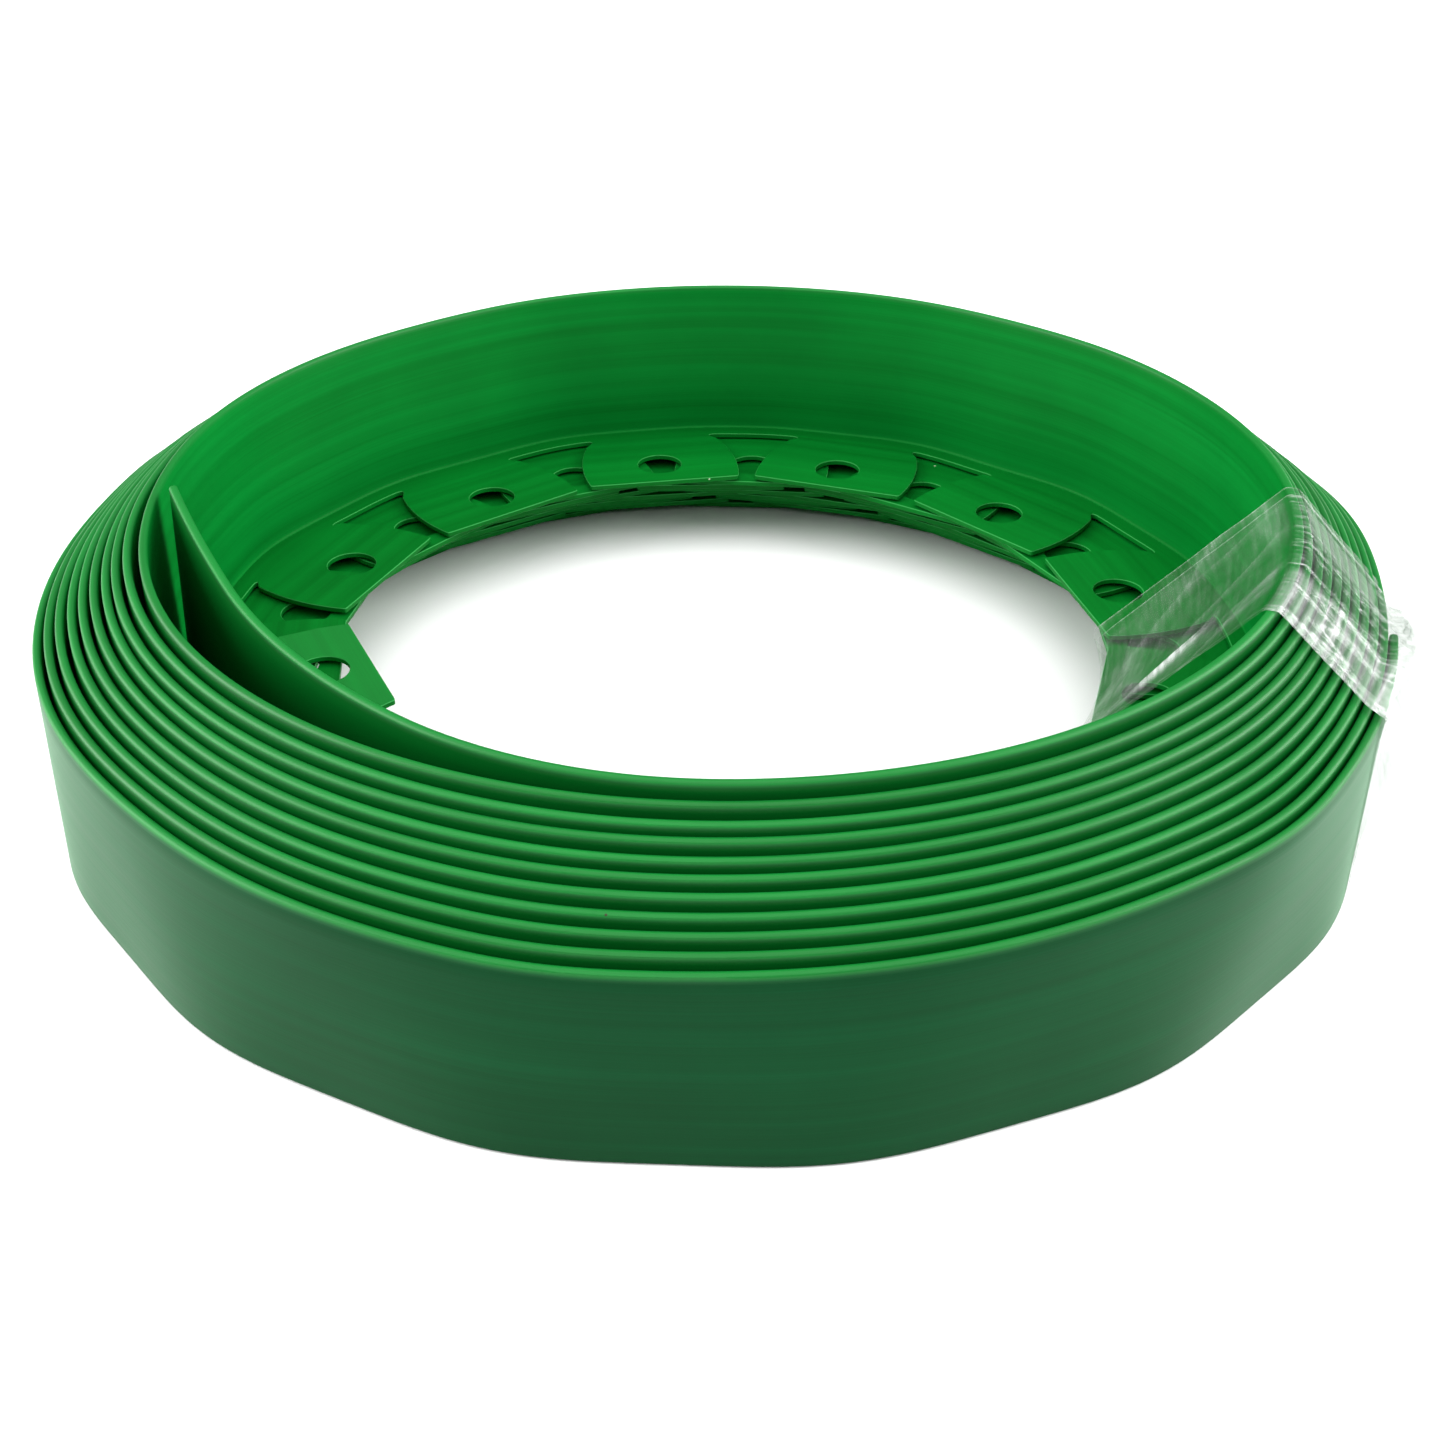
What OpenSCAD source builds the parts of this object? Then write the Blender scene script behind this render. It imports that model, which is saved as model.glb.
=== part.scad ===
// Coil of flexible lawn edging strip, held by a wrap of clear film.
// The strip has a standing wall and an inward foot punched into tabs with peg holes.
// Each inner turn rests on the foot of the turn outside it, so the coil steps up like a cone.
// Millimetres, +Z up, origin at the centre of the resting face.

/* [Strip] */
// Height of the standing wall
wall_h = 45; // [30:1:60]
// Thickness of the standing wall
wall_t = 1.85; // [1.2:0.05:2.0]
// Thickness of the foot
foot_t = 1.4; // [1:0.1:1.5]
// Reach of the foot, from the wall's inner face to its free edge
foot_w = 36.5; // [32:0.5:40]
// Width of the unbroken web beside the wall
web_w = 5; // [3:0.5:7]

/* [Tabs] */
// Distance between neighbouring peg holes, along the wall
tab_pitch = 65.3; // [62:0.1:70]
// Half of a tab's widest width
tab_half_w = 22.3; // [18:0.1:23]
// Radius of a tab's bowed sides
tab_side_r = 50; // [40:1:80]
// Diameter of a peg hole
peg_hole_d = 12.6; // [8:0.1:14]
// Distance of a peg hole's centre from the wall's inner face
peg_hole_v = 25; // [20:0.5:28]

/* [Coil] */
// Number of full turns
turns = 10; // [6:1:10]
// Outer radius of the coil on its right, where the film holds it
right_r = 154.4; // [150:0.1:160]
// Outer radius of the coil on its left
left_r = 153.1; // [150:0.1:160]
// Distance between turns on the right, pressed together by the film
right_pitch = 2.3; // [2.2:0.05:2.5]
// Distance between turns on the left, where they stand looser
left_pitch = 2.75; // [2.6:0.05:2.9]
// Height gained with each turn
rise = 2.1; // [2:0.1:2.5]

// Direction of the strip's outer end, clockwise from +X, in degrees
outer_end_deg = 15.4; // [12:0.1:17]

/* [Loose inner end] */
// Bend of the three stretches of the loose end, root first, in degrees
loose_bend = [38.5, 23.4, 4.5]; // [1:0.5:40]
// Distance from the cut end to the first peg hole
cut_to_hole = 20; // [20:0.5:30]
// Slit left between two stretches, so that they can turn
hinge_slit = 0.3; // [0.2:0.1:0.6]
// Extra slit in the web at the joints, on each stretch
web_slit = 1.6; // [1:0.1:3]

/* [Film] */
// Thickness of the film layers together
film_t = 0.25; // [0.2:0.05:0.4]
// Width of the film band
film_w = 60; // [45:1:60]
// Direction of the band from the coil's centre, in degrees
film_deg = -18.4; // [-20:0.2:-17]
// Gap between the film and the strip
film_gap = 0.3; // [0.2:0.05:0.4]
// Length of the crumpled tail that stands off the upper outer edge
tail_l = 1.9; // [1:0.1:6]
// Width of the crumpled tail
tail_w = 22; // [10:1:30]

/* [Hidden] */
// Arc 1 is the front half of the outermost turn, arc 2 its back half, and so on inwards.
// Every arc is two pieces, each a quarter of a turn; the innermost arc is one piece.
last_arc = 2 * turns + 1;
last_piece = 2 * last_arc - 1;
quarters = ["_front_right", "_front_left", "_back_left", "_back_right"];
function arc_of(p) = ceil(p / 2);
function two_digits(n) = str(n < 10 ? "0" : "", n);
function piece_name(p) = str("coil_turn_", two_digits(ceil(p / 4)), quarters[(p - 1) % 4]);

$fn = 144;
strip_green = [0.02, 0.46, 0.2];
film_clear = [0.85, 0.9, 0.88, 0.4];

// The arcs run clockwise, seen from above, and meet between two tabs, near -X or +X.
// There both centres and the meeting place lie on one line, so the wall runs smoothly.
first_r = (left_r + right_r) / 2;
function arc_r(h) = first_r - floor(h / 2) * right_pitch / 2 - floor((h - 1) / 2) * left_pitch / 2;
function mid_r(h) = arc_r(h) - wall_t / 2;
function arc_deg(r, len) = len / r * 180 / PI;
function toward(deg, r) = r * [cos(deg), sin(deg)];

// Start of arc h: its centre, and its direction in degrees, which falls by 180 or so an arc
function arc_start(h) = h == 1
    ? [(right_r - left_r) / 2, 0, -outer_end_deg]
    : let(
        last = arc_start(h - 1),
        deg = last[2] - tabs_deg(h - 1, last[2]),
        centre = [last[0], last[1]] + toward(deg, arc_r(h - 1) - arc_r(h))
    ) [centre[0], centre[1], deg];
function tabs_in(h, deg) = h == last_arc
    ? last_tabs
    : round(mid_r(h) * (deg + 180 * h) * PI / 180 / tab_pitch);
function tabs_deg(h, deg) = arc_deg(mid_r(h), tabs_in(h, deg) * tab_pitch);
// The outermost turn lies flat on the ground; from there every piece steps up.
function piece_z(p) = p < 5 ? 0 : rise * (p - 1) / 4;
function arc_z(h) = piece_z(2 * h - 1);

// The innermost arc keeps to the front, up to where the loose end leaves the coil
last_tabs = 3;
last_start = arc_start(last_arc);
leave_deg = last_start[2] - tabs_deg(last_arc, last_start[2]);

// The loose end: three bent stretches with a joint between two tabs each time
loose_z = arc_z(last_arc - 1) + foot_t + 0.25;
loose_len = [tab_pitch, tab_pitch, tab_pitch / 2 + cut_to_hole];
function loose_r(i) = loose_len[i] / (loose_bend[i] * PI / 180);
function heading(i) = i == 0 ? leave_deg - 90 : heading(i - 1) - loose_bend[i - 1];
// Joint i, on the wall's inner face
function step_in(i) = let(h = heading(i), r = loose_r(i) - wall_t, b = loose_bend[i])
    r * [sin(h) - sin(h - b), cos(h - b) - cos(h)];
inner_r = arc_r(last_arc) - wall_t;
first_joint = [last_start[0], last_start[1]] + toward(leave_deg, inner_r);
function joint_at(i) = i == 0 ? first_joint : joint_at(i - 1) + step_in(i - 1);

// The film band, about its own centre
film_x = 1.5;
film_out_r = right_r - film_x + film_gap + 0.3;
film_in_r = right_r - turns * right_pitch - wall_t - film_x - film_gap;
rim_z = arc_z(last_arc) + wall_h + film_gap;
film_edge_r = film_in_r - foot_w;
film_edge_z = arc_z(last_arc) + foot_t;
under_edge_r = right_r - wall_t - foot_w - film_x - 2 * film_gap;
relief_t = film_t + 0.05;
tail_deg = film_deg + 5;

// The origin is the middle of the bounding box
tail_r = film_out_r + film_t + tail_l;
east = film_x + tail_r * cos(tail_deg) - tail_w / 2 * sin(tail_deg);
origin_x = (east - left_r) / 2;
origin_y = (arc_r(2) - arc_r(1)) / 2;

// Cross-section of the strip on a bend of outer radius r, before the foot is punched
module strip_section(r) {
    inner = r - wall_t;
    polygon([[r, 0], [r, wall_h], [inner, wall_h], [inner, foot_t],
        [inner - foot_w - 1, foot_t], [inner - foot_w - 1, 0]]);
}

// Outline of one tab of the foot: bowed sides, straight free edge. The wall's inner face
// is at x = 0, and the tab points along -X.
module tab_block() {
    side_offset = tab_side_r - tab_half_w;
    side_v = peg_hole_v + 1;
    intersection() {
        translate([-foot_w, -tab_half_w - 1, -2])
            cube([foot_w - 1, 2 * tab_half_w + 2, foot_t + 4]);
        translate([-side_v, side_offset, -3])
            cylinder(r = tab_side_r, h = foot_t + 6);
        translate([-side_v, -side_offset, -3])
            cylinder(r = tab_side_r, h = foot_t + 6);
    }
}

module peg_hole() {
    translate([-peg_hole_v, 0, -1])
        cylinder(d = peg_hole_d, h = foot_t + 2);
}

// Places its children at the wall's inner face at each of tab_degs
module at_tabs(r, tab_degs) {
    for (deg = tab_degs)
        rotate([0, 0, deg])
            translate([r - wall_t, 0, 0])
                children();
}

// A bend of the strip from +X over sweep degrees: beyond the web only the tabs are left
// of the foot, one at each of tab_degs, with its peg hole
module punched_bend(r, sweep, tab_degs) {
    web_r = r - wall_t - web_w;
    difference() {
        rotate_extrude(angle = sweep) strip_section(r);
        difference() {
            rotate([0, 0, -2])
                rotate_extrude(angle = sweep + 4)
                    translate([web_r - foot_w, -1])
                        square([foot_w, foot_t + 2]);
            at_tabs(r, tab_degs) tab_block();
        }
        at_tabs(r, tab_degs) peg_hole();
    }
}

// Piece p of the coil; the first one also has the shallow seat of the film below it
module coil_piece(p) {
    h = arc_of(p);
    start = arc_start(h);
    tabs = tabs_in(h, start[2]);
    first_count = h == last_arc ? tabs : ceil(tabs / 2);
    is_first = p % 2 == 1;
    count = is_first ? first_count : tabs - first_count;
    end = is_first ? first_count : tabs;
    step = arc_deg(mid_r(h), tab_pitch);
    color(strip_green) place_part() difference() {
        translate([start[0], start[1], piece_z(p)])
            rotate([0, 0, start[2] - end * step])
                punched_bend(arc_r(h), count * step, [for (k = [1:count]) (k - 0.5) * step]);
        if (p == 1) film_band(-1, relief_t);
    }
}

// Moves to the part's own origin
module place_part() {
    translate([-origin_x, -origin_y, 0]) children();
}

// Stretch i of the loose end: a bend that starts at joint i
module loose_stretch(i) {
    r = loose_r(i);
    h = heading(i);
    bend = loose_bend[i];
    hole_len = i < 2 ? tab_pitch / 2 : cut_to_hole;
    hole_deg = hole_len / loose_len[i] * bend;
    slit_deg = hinge_slit / r * 180 / PI;
    centre = joint_at(i) - toward(h + 90, r - wall_t);
    slits = i < 2 ? [0, bend] : [bend];
    color(strip_green) place_part() translate([centre[0], centre[1], loose_z])
        rotate([0, 0, h + 90 - bend])
            difference() {
                punched_bend(r, bend - slit_deg, [hole_deg]);
                for (g = slits)
                    rotate([0, 0, g])
                        translate([r - wall_t - web_w - 1, -web_slit, -1])
                            cube([web_w + 1, 2 * web_slit, foot_t + 2]);
            }
}

module loose_end_root() { loose_stretch(0); }
module loose_end_middle() { loose_stretch(1); }
module loose_end_tip() { loose_stretch(2); }

// A box over the film band, between two heights
module film_band(z0, z1) {
    translate([film_x, 0, 0])
        rotate([0, 0, film_deg])
            translate([60, -film_w / 2, z0])
                cube([110, film_w, z1 - z0]);
}

// One panel of the film: a thin outline turned about the band's centre, cut to its width
module film_panel(outline) {
    color(film_clear) place_part() intersection() {
        translate([film_x, 0, 0])
            rotate([0, 0, film_deg - 30])
                rotate_extrude(angle = 60)
                    polygon(outline);
        film_band(-1, rim_z + 5);
    }
}

module film_outer() {
    top = wall_h + film_gap;
    film_panel([[film_out_r, 0], [film_out_r + film_t, 0], [film_out_r + film_t, top],
        [film_out_r, top]]);
}

module film_top() {
    low = wall_h + film_gap;
    brow_r = film_in_r + wall_t + 2 * film_gap + 0.2;
    film_panel([[film_out_r + film_t, low], [brow_r, rim_z + film_t], [film_in_r - film_t, rim_z + film_t],
        [film_in_r - film_t, rim_z], [brow_r, rim_z], [film_out_r, low]]);
}

module film_inner() {
    film_panel([[film_in_r, rim_z], [film_in_r - film_t, rim_z], [film_edge_r - film_t, film_edge_z],
        [film_edge_r, film_edge_z]]);
}

module film_under() {
    film_panel([[film_edge_r, film_edge_z], [film_edge_r - film_t, film_edge_z],
        [film_edge_r - film_t, film_edge_z - 2], [under_edge_r, 0], [film_out_r, 0],
        [film_out_r, film_t], [under_edge_r + 0.1, film_t], [film_edge_r, film_edge_z - 2]]);
}

module film_tail() {
    color(film_clear) place_part() translate([film_x, 0, wall_h - film_t])
        rotate([0, 0, tail_deg])
            translate([film_out_r + film_t, -tail_w / 2, 0])
                cube([tail_l, tail_w, film_t]);
}

for (p = [1:last_piece])
    coil_piece(p);
loose_end_root();
loose_end_middle();
loose_end_tip();
film_outer();
film_top();
film_inner();
film_under();
film_tail();
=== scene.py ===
import math

import bmesh
import bpy
import numpy as np
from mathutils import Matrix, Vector, geometry, noise


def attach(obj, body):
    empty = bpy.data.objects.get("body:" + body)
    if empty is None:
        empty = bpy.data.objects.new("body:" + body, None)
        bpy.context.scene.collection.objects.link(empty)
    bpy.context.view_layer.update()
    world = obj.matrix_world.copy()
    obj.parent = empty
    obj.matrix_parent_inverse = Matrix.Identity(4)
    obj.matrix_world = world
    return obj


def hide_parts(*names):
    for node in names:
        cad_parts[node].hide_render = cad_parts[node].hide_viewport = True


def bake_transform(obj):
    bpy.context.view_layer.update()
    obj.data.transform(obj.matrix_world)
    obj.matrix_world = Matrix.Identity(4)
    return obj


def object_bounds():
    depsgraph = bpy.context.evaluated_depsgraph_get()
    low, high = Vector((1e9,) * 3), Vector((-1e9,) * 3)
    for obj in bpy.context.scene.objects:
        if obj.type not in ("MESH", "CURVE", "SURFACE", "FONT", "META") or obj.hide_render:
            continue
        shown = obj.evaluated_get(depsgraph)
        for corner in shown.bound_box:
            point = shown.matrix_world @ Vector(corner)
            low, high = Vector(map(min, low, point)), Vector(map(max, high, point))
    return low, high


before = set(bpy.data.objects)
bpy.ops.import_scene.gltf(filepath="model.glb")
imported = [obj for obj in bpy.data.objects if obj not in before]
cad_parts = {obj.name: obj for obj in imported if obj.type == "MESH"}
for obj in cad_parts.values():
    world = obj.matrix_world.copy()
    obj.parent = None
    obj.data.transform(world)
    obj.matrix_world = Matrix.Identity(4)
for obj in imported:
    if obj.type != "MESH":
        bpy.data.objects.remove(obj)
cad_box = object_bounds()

MM = 0.001

# The strip, in millimetres
WALL_H, WALL_T, FOOT_T, FOOT_W, WEB_W = 45.0, 1.85, 1.4, 36.5, 5.0
PITCH, TAB_HALF, TAB_SIDE_R, HOLE_R, HOLE_V = 65.3, 22.3, 50.0, 6.3, 25.0
EDGE = 0.14
ROOT_V, LOOSE_ROOT_V, UNDER_WALL, WEB_MIDDLE = WEB_W + 1.6, 3.6, 0.25, 2.4
WALL_STEP = 2.4
# A tab's rounded corners, as steps in from its side and its end, and out from its side and the web
TAB_CORNER = ((0, 0.9), (0.08, 0.45), (0.38, 0.12), (0.85, 0))
ROOT_CORNER = ((1.9, 0), (0.75, 0.22), (0.18, 0.75))
# How far the strip's surface is numbered across itself: the wall from 0, the foot from FOOT_GRAIN
GRAIN_SPAN, FOOT_GRAIN = 200, 100
# The coil
TURNS, RIGHT_R, LEFT_R, RIGHT_PITCH, LEFT_PITCH, RISE = 10, 154.4, 153.1, 2.3, 2.75, 2.1
OUTER_END, LAST_TABS, CUT_TO_HOLE = 15.4, 3, 20.0
# The loose end: the bend of each piece in degrees, its height, how far before a joint two pieces meet,
# and how far to each side of a joint its bend is spread
LOOSE_BEND = (38.5, 23.4, 4.5)
LOOSE_Z, LOOSE_SPLIT, BLEND_HALF = 21.6, 14.5, 14
# The film
FILM_X, FILM_DEG, FILM_GAP, FILM_T, TAIL_L, TAIL_W = 1.5, -18.4, 0.3, 0.25, 1.9, 22.0
FILM_TOP = 66.55


def toward(deg, r):
    """Vector of length r in one direction of the coil, in degrees from the right."""
    a = math.radians(deg)
    return np.array((math.cos(a), math.sin(a))) * r


def smooth(t):
    """Rises from 0 to 1 as t does, level at both ends."""
    t = np.clip(t, 0.0, 1.0)
    return t * t * (3 - 2 * t)


def bell(x, middle, width):
    """A smooth bump of height 1 at the middle."""
    return np.exp(-((x - middle) / width) ** 2)


def perlin(x, y, z=0.0):
    """Smooth noise over arrays of places."""
    x, y = np.broadcast_arrays(np.asarray(x, float), np.asarray(y, float))
    out = [noise.noise((a, b, z)) for a, b in zip(x.ravel(), y.ravel())]
    return np.array(out).reshape(x.shape)


def ridges(x, y, z, power):
    """Noise that is 1 along thin winding lines; a higher power thins them."""
    return (1 - np.abs(perlin(x, y, z))) ** power


# ---------------------------------------------------------------- the strip's route
bends = []
spot, deg, along = np.array(((RIGHT_R - LEFT_R) / 2, 0.0)), -OUTER_END, 0.0
for h in range(1, 2 * TURNS + 2):
    r = (LEFT_R + RIGHT_R) / 2 - (h // 2) * RIGHT_PITCH / 2 - ((h - 1) // 2) * LEFT_PITCH / 2
    if bends:
        spot = spot + toward(deg, bends[-1]["r"] - r)
    mid = r - WALL_T / 2
    tabs = LAST_TABS if h > 2 * TURNS else math.floor(mid * math.radians(deg + 180 * h) / PITCH + 0.5)
    bends.append({"c": spot, "r": r, "ref": mid, "deg": deg, "s": along, "tabs": tabs})
    along += tabs * PITCH
    deg -= math.degrees(tabs * PITCH / mid)
coil_end = along
joint = spot + toward(deg, bends[-1]["r"] - WALL_T)
joints_s = []
for i, turn in enumerate(LOOSE_BEND):
    length = PITCH if i < 2 else PITCH / 2 + CUT_TO_HOLE
    r = length / math.radians(turn)
    spot = joint - toward(deg, r - WALL_T)
    bends.append({"c": spot, "r": r, "ref": r, "deg": deg, "s": along, "tabs": 1})
    joints_s.append(along)
    along += length
    deg -= turn
    joint = spot + toward(deg, r - WALL_T)
strip_end = along
tab_list = [(b["s"] + (k + 0.5) * PITCH) for b in bends for k in range(b["tabs"])]

# The origin is below the middle of the part's box, and the film's tail is the part's right end
film_out_r = RIGHT_R - FILM_X + FILM_GAP + 0.3
tail_a = math.radians(FILM_DEG + 5)
east = FILM_X + (film_out_r + FILM_T + TAIL_L) * math.cos(tail_a) - TAIL_W / 2 * math.sin(tail_a)
ORIGIN = ((east - LEFT_R) / 2, (bends[1]["r"] - bends[0]["r"]) / 2)
table = {k: np.array([b[k] for b in bends]) for k in ("r", "ref", "deg", "s")}
table["cx"], table["cy"] = (np.array([b["c"][i] for b in bends]) for i in (0, 1))


def rail(s):
    """Centre, outer radius and direction, in radians and falling, of the strip's bend at length s."""
    s = np.asarray(s, float)
    i = np.clip(np.searchsorted(table["s"], s, "right") - 1, 0, len(bends) - 1)
    ang = np.radians(table["deg"][i]) - (s - table["s"][i]) / table["ref"][i]
    return table["cx"][i], table["cy"][i], table["r"][i], ang


def base_z(s):
    """Height of the strip's foot: level on the ground at first, then rising turn by turn."""
    half = (-np.degrees(rail(s)[3]) - OUTER_END) / 180
    q = RISE / 2 * half - RISE / 4
    z = (q + np.sqrt(q * q + 0.04)) / 2
    loose = smooth((half - 2 * TURNS + 0.3) / 0.75)
    return z + (LOOSE_Z - z) * loose


def hump(deg, middle, width):
    """A smooth bump, its width in degrees, round one direction of the coil."""
    return bell((deg - middle + 180) % 360 - 180, 0, width)


# Slow irregularities of a hand-wound coil, worked out once on a fine grid of lengths
grid = np.arange(0, strip_end + 5, 4.0)
g_ang = rail(grid)[3]
g_deg = np.degrees(g_ang)
g_turn = (-g_deg - OUTER_END) / 360
room = 0.13 + 0.15 * (0.5 - 0.5 * np.cos(g_ang))
noise_r = room * perlin(g_turn * 6.3, 3.1) * 1.5
noise_r = np.where(g_turn < 1.05, np.minimum(noise_r, 0), noise_r)
outer_share = np.clip(1 - (g_turn - 0.93) / 9.4, 0, 1)
inner_share = 1 - outer_share
back_right = np.where(((g_deg - 9 + 180) % 360) < 180, hump(g_deg, 9, 14), hump(g_deg, 9, 17))
g_rim = noise_r + outer_share * (4.1 * back_right + 2.2 * hump(g_deg, 158, 9))
front_waves = 1.0 * hump(g_deg, -102, 8) - 1.2 * hump(g_deg, -136, 13) + 1.6 * hump(g_deg, -46, 9)
front_waves = outer_share ** 2 * front_waves
g_rim += front_waves
g_rim -= inner_share * 1.2 * (hump(g_deg, 50, 12) + hump(g_deg, 130, 12))
g_rim -= 1.1 * bell(g_turn, TURNS - 0.56, 0.05)
g_lift = 0.3 * perlin(g_turn * 5.1, 7.7, 4.0) * smooth(g_turn * 2)
g_lift = np.where(g_turn < 1, np.maximum(g_lift, 0), g_lift)
g_lift = g_lift + np.where(g_turn < 0.9, 0.3 * hump(g_deg, FILM_DEG, 14), 0)
fade = 1 - smooth((grid - coil_end + 120) / 100)
g_rim, g_lift = g_rim * fade, g_lift * fade
# The foot stands out between the stiff tabs and in at them, by the same amount on every turn
quiet = 1 - np.clip(hump(g_deg, 180, 13) + hump(g_deg, 0, 13) + hump(g_deg, 90, 11), 0, 1)
g_foot = 0.7 * np.cos(np.radians((g_deg + 33) * 15)) - 0.55 * hump(g_deg, -84, 17)
g_foot += 1.2 * hump(g_deg, -159, 10) + 0.5 * hump(g_deg, -34, 10)
g_foot = g_foot * quiet * (1 - smooth((grid - coil_end + 150) / 120))
g_foot += g_rim - front_waves * fade


def lean(s):
    """The cut end leans outwards at its foot."""
    return 2.4 * smooth((np.asarray(s, float) - strip_end + 75) / 75)


def place(s, d, z):
    """Point of the strip at length s, d inwards from its outer face and z above its foot."""
    s, d, z = np.broadcast_arrays(np.asarray(s, float), np.asarray(d, float), np.asarray(z, float))
    cx, cy, r, ang = rail(s)
    low = 1 - z / WALL_H
    r = r - d + np.interp(s, grid, g_rim) * (1 - low) + (np.interp(s, grid, g_foot) + lean(s)) * low
    x = cx + r * np.cos(ang) - ORIGIN[0]
    y = cy + r * np.sin(ang) - ORIGIN[1]
    up = z + base_z(s) + np.interp(s, grid, g_lift)
    # the waves stay inside the box of the CAD part
    lo, hi = (np.array(corner) / MM for corner in cad_box)
    return np.clip(np.stack((x, y, up), -1), lo + (0.03, 0.03, 0), hi - (0.03, 0.03, 0)) * MM


def make(name, verts, faces, grain, material, sharp=35):
    """A piece; edges sharper than the angle in degrees stay hard, and 0 is for one smooth open surface."""
    mesh = bpy.data.meshes.new(name)
    mesh.from_pydata([tuple(v) for v in verts], [], faces)
    at = mesh.attributes.new("grain", "FLOAT_VECTOR", "POINT")
    at.data.foreach_set("vector", np.asarray(grain, np.float32).ravel())
    if sharp:
        bm = bmesh.new()
        bm.from_mesh(mesh)
        bmesh.ops.remove_doubles(bm, verts=bm.verts, dist=2e-7)
        bmesh.ops.holes_fill(bm, edges=[e for e in bm.edges if e.is_boundary], sides=0)
        bmesh.ops.recalc_face_normals(bm, faces=bm.faces)
        bm.to_mesh(mesh)
        bm.free()
    mesh.polygons.foreach_set("use_smooth", [True] * len(mesh.polygons))
    if sharp:
        mesh.set_sharp_from_angle(angle=math.radians(sharp))
    mesh.materials.append(material)
    obj = bpy.data.objects.new(name, mesh)
    bpy.context.scene.collection.objects.link(obj)
    return obj


# ---------------------------------------------------------------- wall and foot
def wall_profile(web):
    """The strip's section, round from the foot's outer corner over the rim, with the web or without."""
    t, h = WALL_T, WALL_H
    pts = [(0.15, 0), (0, 0.15)] + [(0, z) for z in np.linspace(5, h - 5, 7)]
    for k in range(7):
        a = math.radians(180 - 30 * k)
        pts.append((t / 2 + t / 2 * math.cos(a), h - 0.62 + 0.62 * math.sin(a)))
    pts += [(t, z) for z in np.linspace(h - 5, 5, 7)]
    pts += [(t, 2.2), (t + 0.07, 1.85), (t + 0.24, 1.58), (t + 0.5, FOOT_T + 0.02)]
    if web:
        end = t + WEB_W
        pts += [(end - EDGE, FOOT_T), (end, FOOT_T - EDGE), (end, EDGE), (end - EDGE, 0)]
    else:
        pts += [(t + 0.3, FOOT_T - 0.12), (t - 0.12, FOOT_T - 0.4), (t - 0.12, 0.03)]
    return np.array(pts)


def wall(s0, s1, web):
    """The wall from length s0 to s1, with the web of the foot if asked for."""
    prof = wall_profile(web)
    s = np.linspace(s0, s1, max(3, int((s1 - s0) / WALL_STEP)))
    verts = place(s[:, None], prof[None, :, 0], prof[None, :, 1])
    n = len(prof)
    faces = [(i * n + j, i * n + (j + 1) % n, (i + 1) * n + (j + 1) % n, (i + 1) * n + j)
             for i in range(len(s) - 1) for j in range(n)]
    faces += [tuple(range(n)), tuple(range((len(s) - 1) * n, len(s) * n))]
    side = np.cumsum(np.r_[0, np.hypot(*np.diff(prof, axis=0).T)])
    grain = np.stack(np.broadcast_arrays(s[:, None] * MM, side[None] * MM, np.zeros((1, n))), -1)
    return verts.reshape(-1, 3), faces, grain.reshape(-1, 3)


def side_u(v):
    """Half the tab's width at v, where its side is an arc."""
    return math.sqrt(TAB_SIDE_R ** 2 - (v - HOLE_V - 1) ** 2) - (TAB_SIDE_R - TAB_HALF)


def tab_flank(web):
    """One side of a tab and its rounded corner; the side of a loose tab starts within the web."""
    side_end = FOOT_W - TAB_CORNER[0][1]
    side = [(side_u(v), v) for v in np.linspace(ROOT_V if web else LOOSE_ROOT_V, side_end, 11)]
    return side + [(side_u(side_end) - du, FOOT_W - dv) for du, dv in TAB_CORNER[1:]]


def cell_outline(left, right, web, cut=None):
    """Outline of one pitch of the foot, round the tab's centre; u along the strip, v inwards."""
    flank = tab_flank(web)
    left_flank = [(-u, v) for u, v in reversed(flank)]
    if cut is not None:
        flank = [(min(u, cut), v) for u, v in flank]
    tab_end = [(u, FOOT_W) for u in np.linspace(flank[-1][0] - 2.5, left_flank[0][0] + 2.5, 11)]
    tab = flank + tab_end + left_flank
    if not web:
        return tab
    root = side_u(ROOT_V)
    corner = [(root + du, WEB_W + dv) for du, dv in ROOT_CORNER]
    under_wall = [(u, -UNDER_WALL) for u in np.linspace(-left, right, 15)]
    right_web = [(right, WEB_W)]
    if right > root + 3:
        right_web = [(u, WEB_W) for u in np.linspace(right, root + 4, 5)] + corner
    left_web = [(-u, v) for u, v in reversed(corner)]
    left_web += [(u, WEB_W) for u in np.linspace(-root - 4, -left, 5)]
    return under_wall + [(right, WEB_MIDDLE)] + right_web + tab + left_web + [(-left, WEB_MIDDLE)]


def open_edges(ring, left, right):
    """For each edge of the outline, whether it lies where one pitch meets the next."""
    u, next_u = ring[:, 0], np.roll(ring[:, 0], -1)
    at_end = (np.abs(u - right) < 1e-6) | (np.abs(u + left) < 1e-6)
    return at_end & (np.abs(u - next_u) < 1e-6)


def shrink(ring, skip):
    """The outline moved inwards by the width of the chamfer, but not away from its skipped edges."""
    normals = []
    for a, b in zip(ring, np.roll(ring, -1, 0)):
        d = b - a
        normals.append((d[1], -d[0]) / max(1e-9, np.hypot(*d)))
    moved = []
    for i, point in enumerate(ring):
        pair = [normals[k] for k in (i - 1, i) if not skip[k]]
        n = sum(pair) if pair else np.zeros(2)
        moved.append(point - n / max(1e-9, np.hypot(*n)) * EDGE)
    return np.array(moved)


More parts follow.
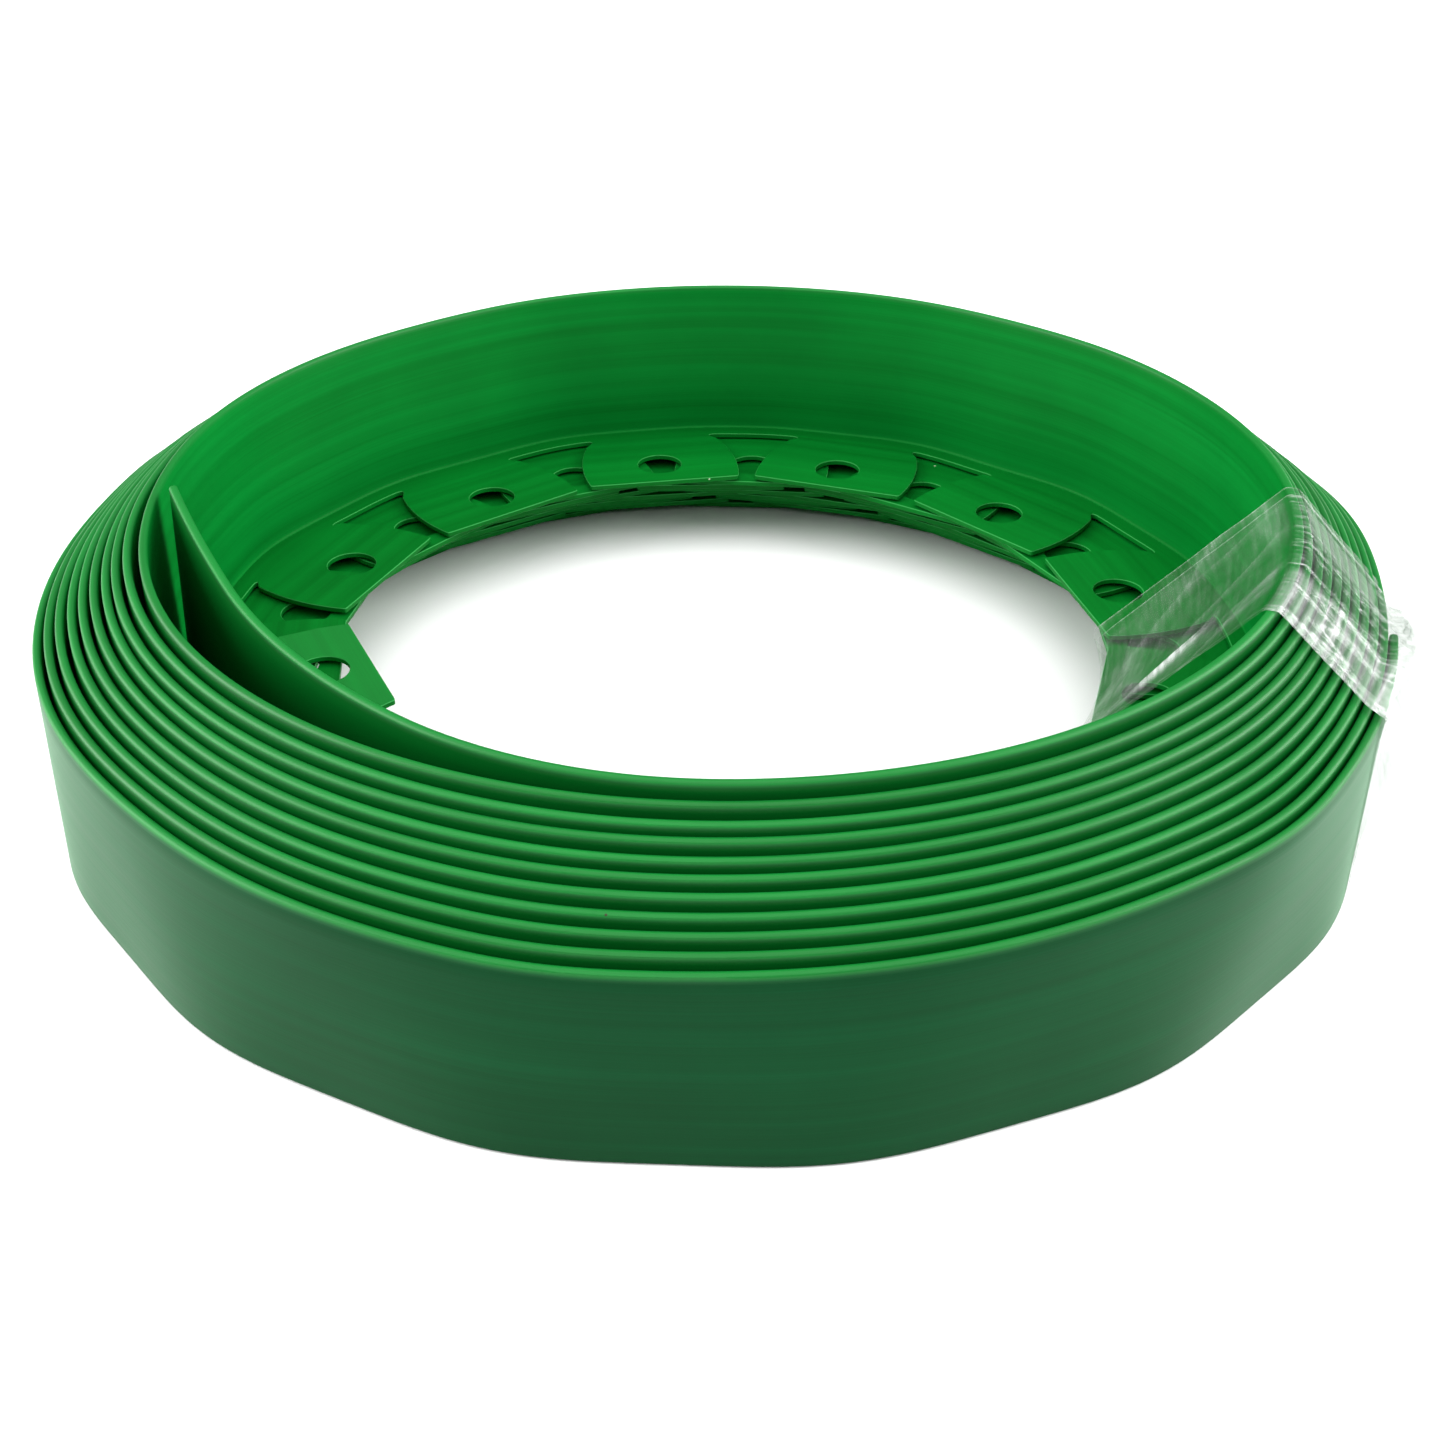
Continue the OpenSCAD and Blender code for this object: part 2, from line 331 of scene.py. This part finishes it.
def circle(r):
    """A ring of 40 points round the middle of the tab's hole."""
    a = np.linspace(0, 2 * math.pi, 41)[:-1]
    return np.stack((r * np.cos(a), HOLE_V + r * np.sin(a)), -1)


def tab_points(cut):
    """Points spread over the flat of a tab, clear of its sides and its hole, so it bends smoothly."""
    points = []
    for v in (WEB_W + 1, WEB_W + 2.6, WEB_W + 4.4, 13, 17.5, 22, 28, 32.5):
        for u in np.linspace(-16, 16, 9):
            limit = side_u(v) if cut is None else min(side_u(v), cut)
            if -side_u(v) + 1.5 < u < limit - 1.5 and math.hypot(u, v - HOLE_V) > HOLE_R + 1.6:
                points.append((u, v))
    return points


def cell_mesh(left, right, web, cut=None):
    """One pitch of the foot as (u, v, z) points and faces, with chamfered punched edges."""
    ring = np.array(cell_outline(left, right, web, cut))
    skip = open_edges(ring, left, right) if web else np.zeros(len(ring), bool)
    hole = circle(HOLE_R)
    flat = [Vector(p) for p in [*shrink(ring, skip), *circle(HOLE_R + EDGE), *tab_points(cut)]]
    n, m = len(ring), len(hole)
    edges = [(i, (i + 1) % n) for i in range(n)] + [(n + i, n + (i + 1) % m) for i in range(m)]
    out = geometry.delaunay_2d_cdt(flat, edges, [], 1, 1e-7)
    first = {o: k for k, origs in enumerate(out[3]) for o in origs}
    pts = np.array([tuple(p) for p in out[0]])
    tris = [f for f in out[2] if math.hypot(*(pts[list(f)].mean(0) - (0, HOLE_V))) > HOLE_R + 0.8 * EDGE]
    thin = 0.0 if web else 0.03
    lo, hi = thin, FOOT_T - thin
    verts = [(*p, hi) for p in pts] + [(*p, lo) for p in pts]
    k = len(pts)
    faces = [tuple(f) for f in tris] + [tuple(k + i for i in reversed(f)) for f in tris]
    for loop, start, closed in ((ring, 0, ~skip), (hole, n, np.ones(m, bool))):
        up, down = len(verts), len(verts) + len(loop)
        verts += [(*p, hi - EDGE) for p in loop] + [(*p, lo + EDGE) for p in loop]
        for i in np.flatnonzero(closed).tolist():
            j = (i + 1) % len(loop)
            fi, fj = first[start + i], first[start + j]
            faces += [(fi, fj, up + j, up + i), (up + i, up + j, down + j, down + i),
                      (down + i, down + j, k + fj, k + fi)]
    return np.array(verts), faces


def foot(centres, web, halves=None, cut=None):
    """Tabs of the foot round the given lengths, each flat, joined by the bent web."""
    verts, faces, grain = [], [], []
    for i, s in enumerate(centres):
        left, right = halves[i] if halves else (PITCH / 2, PITCH / 2)
        uvz, f = cell_mesh(left, right, web, cut)
        u, v, z = uvz.T
        if not web:
            # the loose tabs' inner corners are eased so they pass the tab behind when the end bends
            u = u * (1 - 0.05 * smooth((v - 29) / 7.5))
        bent = place(s + u, WALL_T + v, z)
        origin = place(s, WALL_T, 0.0)
        inward = place(s, WALL_T + 1, 0.0) - origin
        inward[2] = 0
        inward /= np.linalg.norm(inward)
        ahead = np.array((-inward[1], inward[0], 0))
        step = place(s + 1, WALL_T, 0.0) - origin
        ahead *= np.sign(ahead @ step)
        tilt = 0.16 * noise.noise((s * 0.37, 1.3, 0.2)) if web else 0.1
        flat = origin + np.outer(u * MM, ahead) + np.outer(v * MM, inward)
        flat[:, 2] = bent[:, 2] + tilt * (v / FOOT_W) * MM
        w = smooth((v - WEB_W) / 4)[:, None] if web else np.ones((len(v), 1))
        off = len(verts)
        verts += list(bent * (1 - w) + flat * w)
        faces += [tuple(off + a for a in q) for q in f]
        grain += [((s + a) * MM, (FOOT_GRAIN + b) * MM, c * MM) for a, b, c in uvz]
    return verts, faces, grain


def join(*parts):
    """Several meshes as one."""
    verts, faces, grain = [], [], []
    for v, f, g in parts:
        off = len(verts)
        verts += list(v)
        grain += list(g)
        faces += [tuple(off + a for a in q) for q in f]
    return verts, faces, grain


# ---------------------------------------------------------------- materials
class Look:
    """A material, with short calls for the nodes of its look. An input takes a socket or a constant."""

    def __init__(self, name):
        self.material = bpy.data.materials.new(name)
        self.material.use_nodes = True
        self.tree = self.material.node_tree
        self.skin = self.tree.nodes["Principled BSDF"]
        self.end = self.tree.nodes["Material Output"]

    def feed(self, node, inputs):
        for key, value in inputs.items():
            if isinstance(value, bpy.types.NodeSocket):
                self.tree.links.new(value, node.inputs[key])
            else:
                node.inputs[key].default_value = value
        return node

    def node(self, kind, inputs, **settings):
        node = self.tree.nodes.new("ShaderNode" + kind)
        for key, value in settings.items():
            setattr(node, key, value)
        return self.feed(node, inputs)

    def attribute(self, name, socket):
        return self.node("Attribute", {}, attribute_name=name).outputs[socket]

    def math(self, operation, *values, clamp=False):
        return self.node("Math", dict(enumerate(values)), operation=operation, use_clamp=clamp).outputs[0]

    def step(self, source, start, end, low, high):
        """The source from start to end turned into a value from low to high."""
        ends = {"From Min": start, "From Max": end, "To Min": low, "To Max": high}
        return self.node("MapRange", {"Value": source, **ends}).outputs["Result"]

    def ramp(self, source, *stops):
        """Colours between stops of (position, colour)."""
        node = self.node("ValToRGB", {"Fac": source})
        marks = node.color_ramp.elements
        for mark, (at, colour) in zip(list(marks), (stops[0], stops[-1])):
            mark.position, mark.color = at, colour
        for at, colour in stops[1:-1]:
            marks.new(at).color = colour
        return node.outputs["Color"]

    def mix(self, share, below, above, blend_type="MIX"):
        inputs = {0: share, 6: below, 7: above}
        return self.node("Mix", inputs, data_type="RGBA", blend_type=blend_type).outputs[2]

    def noise(self, vector, scale, detail, turn=0.0):
        """Noise stretched by a scale in each direction of the vector."""
        place_inputs = {"Vector": vector, "Scale": scale, "Rotation": (0, 0, turn)}
        stretched = self.node("Mapping", place_inputs).outputs["Vector"]
        return self.node("TexNoise", {"Vector": stretched, "Scale": 1.0, "Detail": detail}).outputs["Fac"]


def grey(value):
    return (value, value, value, 1)


def specks(look, grain, colour, scale, rare, size, paint):
    """Scattered crumbs: one in a few of the cells of a cell pattern holds a dot."""
    cells = look.node("TexVoronoi", {"Vector": grain, "Scale": scale})
    chance = look.node("SeparateColor", {0: cells.outputs["Color"]}).outputs[0]
    dot = look.step(cells.outputs["Distance"], size * 0.7, size, 1, 0)
    chosen = look.step(chance, rare, rare + 0.001, 0, 1)
    return look.mix(look.math("MULTIPLY", dot, chosen), colour, paint)


def strip_material():
    """Green plastic, streaked along the strip: grain's x runs along it, y across its surface."""
    look = Look("green_plastic")
    grain = look.attribute("grain", "Vector")
    fine = look.noise(grain, (7, 2600, 40), 3)
    broad = look.noise(grain, (3, 260, 40), 2)
    cloud = look.noise(grain, (28, 34, 40), 3)
    streaks = look.math("MULTIPLY_ADD", fine, 0.45, broad)
    along, across, through = look.node("SeparateXYZ", {0: grain}).outputs

    # Where one zone of the surface fades into the next, in metres along, across and through the strip
    outer_end, foot_start, first_turn_end = (0.0436, 0.0445), (0.0995, 0.1), (0.955, 0.975)
    edge_low, edge_high = (0.0011, 0.0012), (0.00132, 0.00139)

    # Across the strip, the outer face ends at 43.6 mm, the rim at 47.6 mm, and the foot starts at 100 mm
    zone = look.step(across, 0, GRAIN_SPAN * MM, 0, 1)
    # The outer face's tint darkens and greys it: painted shade and a painted grey sheen on the wall's
    # outside, which is the same plastic as the inside
    painted_shade_outer_tint, rim_tint, foot_tint, white = (0.7, 0.3, 0.68, 1), (1, 0.96, 1, 1), (1, 0.86, 0.72, 1), grey(1)
    tints = ((43.6, painted_shade_outer_tint), (44.5, rim_tint), (46.4, rim_tint),
             (47.6, white), (99, white), (FOOT_GRAIN, foot_tint))
    face = look.ramp(zone, *((at / GRAIN_SPAN, tint) for at, tint in tints))
    plain = look.ramp(streaks, (0.5, (0.0004, 0.142, 0.0145, 1)), (0.95, (0.0008, 0.2, 0.024, 1)))
    shade = look.ramp(cloud, (0.3, grey(0.86)), (0.7, white))
    colour = look.mix(1.0, look.mix(1.0, plain, shade, "MULTIPLY"), face, "MULTIPLY")

    # Outer faces inside the coil, seen in the gaps between turns, take a darker, deeper green instead of the
    # exposed face's tint: painted shade between the turns, saturated like light bounced between them
    on_outer = look.step(across, *outer_end, 1, 0)
    inside_coil = look.step(along, *first_turn_end, 0, 1)
    colour = look.mix(look.math("MULTIPLY", inside_coil, on_outer), colour, (0.0004, 0.075, 0.008, 1))

    # A band along the punched edges of the foot is painted paler as a painted highlight, and a few crumbs of
    # swarf and grit stay on the strip
    below_top = look.step(through, *edge_high, 1, 0)
    above_middle = look.step(through, *edge_low, 0, 1)
    on_foot = look.step(across, *foot_start, 0, 1)
    painted_edge_highlight = look.math("MULTIPLY", look.math("MULTIPLY", below_top, above_middle), on_foot)
    colour = look.mix(look.step(painted_edge_highlight, 0, 1, 0, 0.55), colour, (0.06, 0.42, 0.11, 1))
    colour = specks(look, grain, colour, scale=95, rare=0.93, size=0.034, paint=(0.5, 0.62, 0.42, 1))
    colour = specks(look, grain, colour, scale=70, rare=0.95, size=0.026, paint=(0.03, 0.025, 0.012, 1))

    # Rims shine, and the exposed outer face carries a dull bloom that shows at a slant
    shines = ((43.4, grey(0.04)), (44.4, grey(0.28)), (46.6, grey(0.28)), (47.6, grey(0.06)))
    gloss = look.ramp(zone, *((at / GRAIN_SPAN, shine) for at, shine in shines))
    exposed = look.step(along, *first_turn_end, 1, 0)
    bloom = look.math("MULTIPLY", look.step(across, *outer_end, 0.55, 0), exposed)
    bump = look.node("Bump", {"Strength": 0.16, "Distance": 0.0002, "Height": streaks}).outputs["Normal"]
    look.feed(look.skin, {"Base Color": colour, "Roughness": look.step(streaks, 0, 1, 0.34, 0.52),
                          "Specular IOR Level": gloss, "IOR": 1.5, "Normal": bump, "Sheen Weight": bloom,
                          "Sheen Roughness": 0.33, "Sheen Tint": (0.64, 1, 0.7, 1)})
    return look.material


def film_material():
    """Clear film: where it is milky it is white, and where it is clear it only reflects a little; the white
    also carries painted highlights and reflections.
    """
    look = Look("clear_film")
    scratch = look.noise(look.attribute("grain", "Vector"), (900, 60, 900), 3.0, turn=0.5)
    haze_and_painted_light = look.math("MULTIPLY", look.attribute("haze_and_painted_light", "Fac"), look.step(scratch, 0.42, 0.78, 0.75, 1.9))
    glint = look.math("MINIMUM", look.node("Fresnel", {"IOR": 1.17}).outputs["Fac"], 0.1)
    cover = look.math("ADD", haze_and_painted_light, glint, clamp=True)
    mirror = look.math("SUBTRACT", 1.0, look.math("DIVIDE", haze_and_painted_light, cover), clamp=True)
    look.feed(look.skin, {"Base Color": (0.76, 0.79, 0.77, 1), "Metallic": mirror,
                          "Roughness": look.step(scratch, 0, 1, 0.08, 0.22)})
    clear = look.node("BsdfTransparent", {"Color": (0.97, 0.98, 0.97, 1)}).outputs[0]
    film = look.node("MixShader", {0: cover, 1: clear, 2: look.skin.outputs[0]}).outputs[0]
    look.feed(look.end, {"Surface": film})
    return look.material


green = strip_material()
clear_film = film_material()

# ---------------------------------------------------------------- the coil, one piece a turn
QUARTERS = ("front_right", "front_left", "back_left", "back_right")
for turn in range(1, TURNS + 2):
    mine = bends[2 * turn - 2:2 * turn] if turn <= TURNS else bends[2 * TURNS:2 * TURNS + 1]
    s0, s1 = mine[0]["s"], mine[-1]["s"] + mine[-1]["tabs"] * PITCH
    centres = [s for s in tab_list if s0 < s < s1]
    halves = [(PITCH / 2, PITCH / 2) for _ in centres]
    if turn > TURNS:
        halves[-1] = (PITCH / 2, PITCH / 2 - LOOSE_SPLIT)
        s1 -= LOOSE_SPLIT
    piece = make(f"strip_turn_{turn:02d}", *join(wall(s0, s1, False), foot(centres, True, halves)), green)
    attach(piece, "coil")
    nodes = [f"coil_turn_{turn:02d}_{q}" for q in QUARTERS]
    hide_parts(*[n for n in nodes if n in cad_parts])

# ---------------------------------------------------------------- the loose end
chain = ["coil", "loose_root", "loose_middle", "loose_tip"]
for i, part in enumerate(("root", "middle", "tip")):
    s0 = joints_s[i] - LOOSE_SPLIT
    s1 = joints_s[i + 1] - LOOSE_SPLIT if i < 2 else strip_end
    bent = make(f"loose_wall_{part}", *wall(s0, s1, True), green)
    a = place(joints_s[i] - BLEND_HALF, WALL_T / 2, WALL_H / 2)
    b = place(joints_s[i] + BLEND_HALF, WALL_T / 2, WALL_H / 2)
    a[2] = b[2] = (a[2] + b[2]) / 2
    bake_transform(bent)
    cut = CUT_TO_HOLE if part == "tip" else None
    tab = make(f"loose_tab_{part}", *foot([joints_s[i] + PITCH / 2], False, cut=cut), green)
    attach(tab, chain[i + 1])
    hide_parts(f"loose_end_{part}")

# ---------------------------------------------------------------- the film
# The band's path round the coil's section, as distance from the middle and height, from the foot's edge up
film_line = [(153.62, 0.25), (153.6, 45.3), (130.4, 66.3), (127.7, 66.38), (91.35, 22.9), (91.1, 20.4),
             (113.7, 0.12), (153.4, 0.12)]
panels = np.cumsum(np.r_[0, np.hypot(*np.diff(np.array(film_line), axis=0).T)])
outer_top, rims_end, inner_top, inner_end = panels[1:5]


def across(points):
    """Distance along the band's middle direction of a row of strip points, by distance from that middle."""
    a = math.radians(FILM_DEG)
    rel = points[:, :2] / MM + np.array(ORIGIN) - np.array((FILM_X, 0))
    along_d = rel @ np.array((math.cos(a), math.sin(a)))
    lateral = rel @ np.array((-math.sin(a), math.cos(a)))
    order = np.argsort(lateral)
    return lateral[order], along_d[order]


def hug(z):
    """The outermost wall at height z: the first turn, and past its end the wall that follows."""
    first = across(place(np.linspace(0, 90, 46), 0, z))
    turn_end = bends[2]["s"]
    second = across(place(np.linspace(turn_end - 40, turn_end + 45, 46), 0, z))
    w = np.linspace(-45, 45, 91)
    reach = np.where(w <= first[0][-1], np.interp(w, *first), np.interp(w, *second))
    soft = np.convolve(np.pad(reach, 4, "edge"), np.ones(9) / 9, "valid")
    return lambda x: np.interp(x, w, np.maximum(soft, reach))


def brow(x):
    """The inner face of the innermost turn."""
    turn_start = bends[2 * TURNS]["s"]
    return np.interp(x, *across(place(np.linspace(turn_start - 60, turn_start + 110, 60), WALL_T, WALL_H)))


def film_section(t):
    """The band's path at lengths t, its corners eased, and the direction away from the strip."""
    path = np.stack([np.interp(t, panels, row) for row in np.array(film_line).T], -1)
    for _ in range(2):
        path[1:-1] = (path[:-2] + 2 * path[1:-1] + path[2:]) / 4
    step = np.gradient(path, axis=0)
    step /= np.linalg.norm(step, axis=1)[:, None]
    return path, np.stack((step[:, 1], -step[:, 0]), -1)


class Lap:
    """One lap of the film: T is length along the band's path, W distance from its middle to the back."""

    def __init__(self, w0, w1, seed):
        self.w0, self.w1, self.seed = w0, w1, seed
        self.t = np.arange(0, panels[-1], 0.55)
        w = np.linspace(w0, w1, int((w1 - w0) / 0.5))
        T, W = np.meshgrid(self.t, w, indexing="ij")
        self.T, self.W = T, W
        self.on_top = smooth((T - outer_top + 1) / 3) * (1 - smooth((T - inner_top + 2) / 3))
        self.outside = 1 - smooth((T - outer_top + 3) / 4)
        self.inside = smooth((T - inner_top) / 5) * (1 - smooth((T - inner_end + 3) / 5))
        self.under = smooth((T - inner_end + 6) / 6)
        # creases across the rims, sharp at the top, and the sag between one rim and the next
        bend = W + 2.2 * perlin(T * 0.045, W * 0.04, seed)
        self.rims = (T - outer_top) / (rims_end - outer_top) * TURNS
        ends = bell(self.rims, 0.4, 1.3) + bell(self.rims, 10.2, 1.1)
        self.crease = ridges(bend * 0.13, T * 0.014, seed + 3, 16)
        self.small = ridges(bend * 0.55, T * 0.05, seed + 9, 9) * np.clip(ends + 0.12, 0, 1)
        self.sag = np.sin(np.pi * self.rims) ** 2
        # the inner panel's folds and its one crescent-shaped dent
        self.fold = ridges(T * 0.04 + W * 0.03, W * 0.045, seed + 7, 9)
        du, dw = T - inner_top - 41, W + 1.5
        self.crescent = bell(np.hypot(du, dw), 21, 1.9) * bell(np.arctan2(dw, du), -2.2, 0.6)
        # the upper outer edge, with a crumpled knot and a curl at its front corner
        self.edge, self.knot, self.curl = bell(T, outer_top, 2.6), bell(W, 12, 6.5), bell(W, w0, 3.2)

    def push(self, gap):
        """How far the film stands off the band's path."""
        T, W, seed = self.T, self.W, self.seed
        sunk = 0.1 * self.sag * (0.6 + 0.6 * perlin(W * 0.2, self.rims * 0.5, seed + 1))
        top = 0.4 * self.crease + 0.1 * self.small - sunk
        # the inner panel is taut at its edges, with soft folds between
        soft = 0.8 * perlin(T * 0.04, W * 0.055, seed + 5) + 0.2 * perlin(T * 0.12, W * 0.1, seed + 6)
        taut = np.clip(1 - ((W - (self.w0 + self.w1) / 2) / ((self.w1 - self.w0) / 2)) ** 4, 0.1, 1)
        membrane = (soft + 0.7 * self.fold) * taut + 1.3 * self.crescent
        push = gap + self.on_top * top + self.inside * membrane
        push += self.outside * (0.2 * self.crease + 0.05 * self.small)
        push += self.edge * self.knot * (3.0 + 1.5 * perlin(W * 0.5, T * 0.4, seed + 11))
        push += self.edge * self.curl * (0.7 + 1.0 * perlin(W * 0.9, T * 0.8, seed + 12))
        # the outer panel stands off the wall between its near edge and the back
        off_wall = smooth((T - 1) / 20) * (1 - smooth((T - outer_top - 1) / 5))
        push += 4.2 * off_wall * bell(W, -5, 14)
        return push * (1 - self.under)

    def reach(self, R, Z):
        """Distance along the band's middle direction, hugging the strip's own outer and inner faces."""
        T, W = self.T, self.W
        A = np.sqrt(R * R - W * W)
        low, high = hug(0.0), hug(WALL_H)
        share_out = 1 - np.clip((T - outer_top) / (rims_end - outer_top), 0, 1)
        at_z = np.clip(Z / WALL_H, 0, 1)
        A += share_out * ((1 - at_z) * low(W) + at_z * high(W) + 0.2 - np.sqrt(film_line[0][0] ** 2 - W * W))
        share_in = (1 - share_out) * (1 - np.clip((T - inner_top) / 57, 0, 1))
        A += share_in * (brow(W) - 0.25 - np.sqrt(film_line[3][0] ** 2 - W * W))
        return A

    def haze_and_painted_light(self, top, outer, inner):
        """How white the film is, as milky film and as painted highlights and reflections: a function of W
        over the rims, and an amount for each side panel.
        """
        T, W, seed = self.T, self.W, self.seed
        cloud = 0.5 + 0.6 * perlin(T * 0.07, W * 0.1, seed + 20)
        cloud = np.clip(cloud + 0.35 * perlin(T * 0.25, W * 0.33, seed + 21), 0, 2)
        # White lines along the creases over the rims are painted highlights
        painted_crease_highlight = self.crease ** 5 + 0.3 * self.small ** 2
        haze_and_painted_light = (top(W) * (1.3 - 0.8 * self.sag) + 0.42 * painted_crease_highlight) * self.on_top
        # The outer panel's white, streaked by the cloud, is a painted reflection of a softbox
        haze_and_painted_light += outer * self.outside * (0.5 + 0.7 * cloud)
        # The crescent on the inner panel is painted white: a painted highlight
        painted_crescent_highlight = 0.55 * self.inside * self.crescent ** 2
        haze_and_painted_light += inner * self.inside * (0.1 + cloud + 2.2 * self.fold) + painted_crescent_highlight
        haze_and_painted_light += (0.25 * self.edge * (self.knot + self.curl) + 0.22 * bell(W, self.w0, 0.3)
                 + 0.2 * bell(W, self.w1, 0.3))
        return np.clip(haze_and_painted_light, 0, 0.9)


def film_sheet(name, w0, w1, gap, seed, haze_and_painted_light_levels):
    """One lap of the film as a piece, between two distances from the band's middle."""
    lap = Lap(w0, w1, seed)
    t = lap.t
    path, away = film_section(t)
    push = lap.push(gap)
    Z = np.clip(path[:, 1:] + away[:, 1:] * push, 0.03, FILM_TOP)
    A = lap.reach(path[:, :1] + away[:, :1] * push, Z)
    c, s = math.cos(math.radians(FILM_DEG)), math.sin(math.radians(FILM_DEG))
    ragged = lap.W + 0.5 * perlin(lap.T * 0.11, lap.W * 0, seed + 15) * (1 - lap.under)
    x = FILM_X + A * c - ragged * s - ORIGIN[0]
    y = A * s + ragged * c - ORIGIN[1]
    verts = np.stack((x, y, Z), -1) * MM
    n, m = lap.T.shape
    faces = [(i * m + j, i * m + j + 1, (i + 1) * m + j + 1, (i + 1) * m + j)
             for i in range(n - 1) for j in range(m - 1)]
    grain = np.stack((lap.T * MM, lap.W * MM, lap.T * 0), -1)
    obj = make(name, verts.reshape(-1, 3), faces, grain.reshape(-1, 3), clear_film, sharp=0)
    data = obj.data.attributes.new("haze_and_painted_light", "FLOAT", "POINT")
    data.data.foreach_set("value", lap.haze_and_painted_light(*haze_and_painted_light_levels).astype(np.float32).ravel())
    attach(obj, "coil")
    return obj


def milky_front_and_painted_reflection(w):
    """Haze over the rims: a milky strip along the front edge, whose white is partly a painted reflection of a
    softbox.
    """
    return 0.22 * (1 - smooth((w + 13) / 5)) + 0.01


def clear_middle(w):
    """Haze over the rims: clear but for the edge of the lap at the back."""
    return 0.01 + 0.12 * bell(w, 25, 0.5)


# Each lap's levels: the strip over the rims, the outer panel's painted reflection, and the inner panel's
# white
wrap = film_sheet("film_lap_1", -30, 30, 0.0, 2.3, (milky_front_and_painted_reflection, 0.2, 0.045))
film_sheet("film_lap_2", -30, 25.6, 0.3, 7.9, (clear_middle, 0.11, 0.025))
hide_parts(*[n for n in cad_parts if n.startswith("film_")])

# ---------------------------------------------------------------- camera, light, floor
cam = bpy.data.cameras.new("camera")
cam.lens, cam.sensor_width = 45.27, 36
cam_obj = bpy.data.objects.new("camera", cam)
cam_obj.location = (0.0011, -0.3830, 0.2412)
cam_obj.rotation_euler = (math.radians(57.48), 0, 0)
bpy.context.scene.collection.objects.link(cam_obj)
bpy.context.scene.camera = cam_obj


def softbox(name, where, at, size, power):
    """An area light of one place, aimed at another, its power in watts."""
    light = bpy.data.lights.new(name, "AREA")
    light.shape, light.size, light.size_y = "RECTANGLE", size[0], size[1]
    light.energy = power
    obj = bpy.data.objects.new(name, light)
    obj.location = where
    obj.rotation_euler = (Vector(at) - Vector(where)).to_track_quat("-Z", "Y").to_euler()
    bpy.context.scene.collection.objects.link(obj)


softbox("top_light", (0, 0.1, 1.4), (0, 0.1, 0), (2.2, 2.0), 25)
softbox("front_light", (0, -1.15, 1.25), (0, 0.1, 0.03), (1.5, 0.9), 8)
softbox("left_light", (-1.25, -0.05, 0.55), (0, 0, 0.03), (1.3, 1.0), 30)
softbox("right_light", (1.25, -0.05, 0.55), (0, 0, 0.03), (1.3, 1.0), 30)
world = bpy.data.worlds.new("studio")
world.use_nodes = True
world.node_tree.nodes["Background"].inputs["Color"].default_value = (1, 1, 1, 1)
world.node_tree.nodes["Background"].inputs["Strength"].default_value = 0.2
bpy.context.scene.world = world
bpy.context.scene.view_settings.view_transform = "Standard"

pale = Look("pale_floor")
pale.feed(pale.skin, {"Base Color": (0.92, 0.92, 0.92, 1), "Roughness": 0.9})
bm = bmesh.new()
bmesh.ops.create_grid(bm, x_segments=2, y_segments=2, size=4)
floor_mesh = bpy.data.meshes.new("floor")
bm.to_mesh(floor_mesh)
bm.free()
floor_mesh.materials.append(pale.material)
floor = bpy.data.objects.new("floor", floor_mesh)
floor.location = (0, 0, -0.0003)
bpy.context.scene.collection.objects.link(floor)
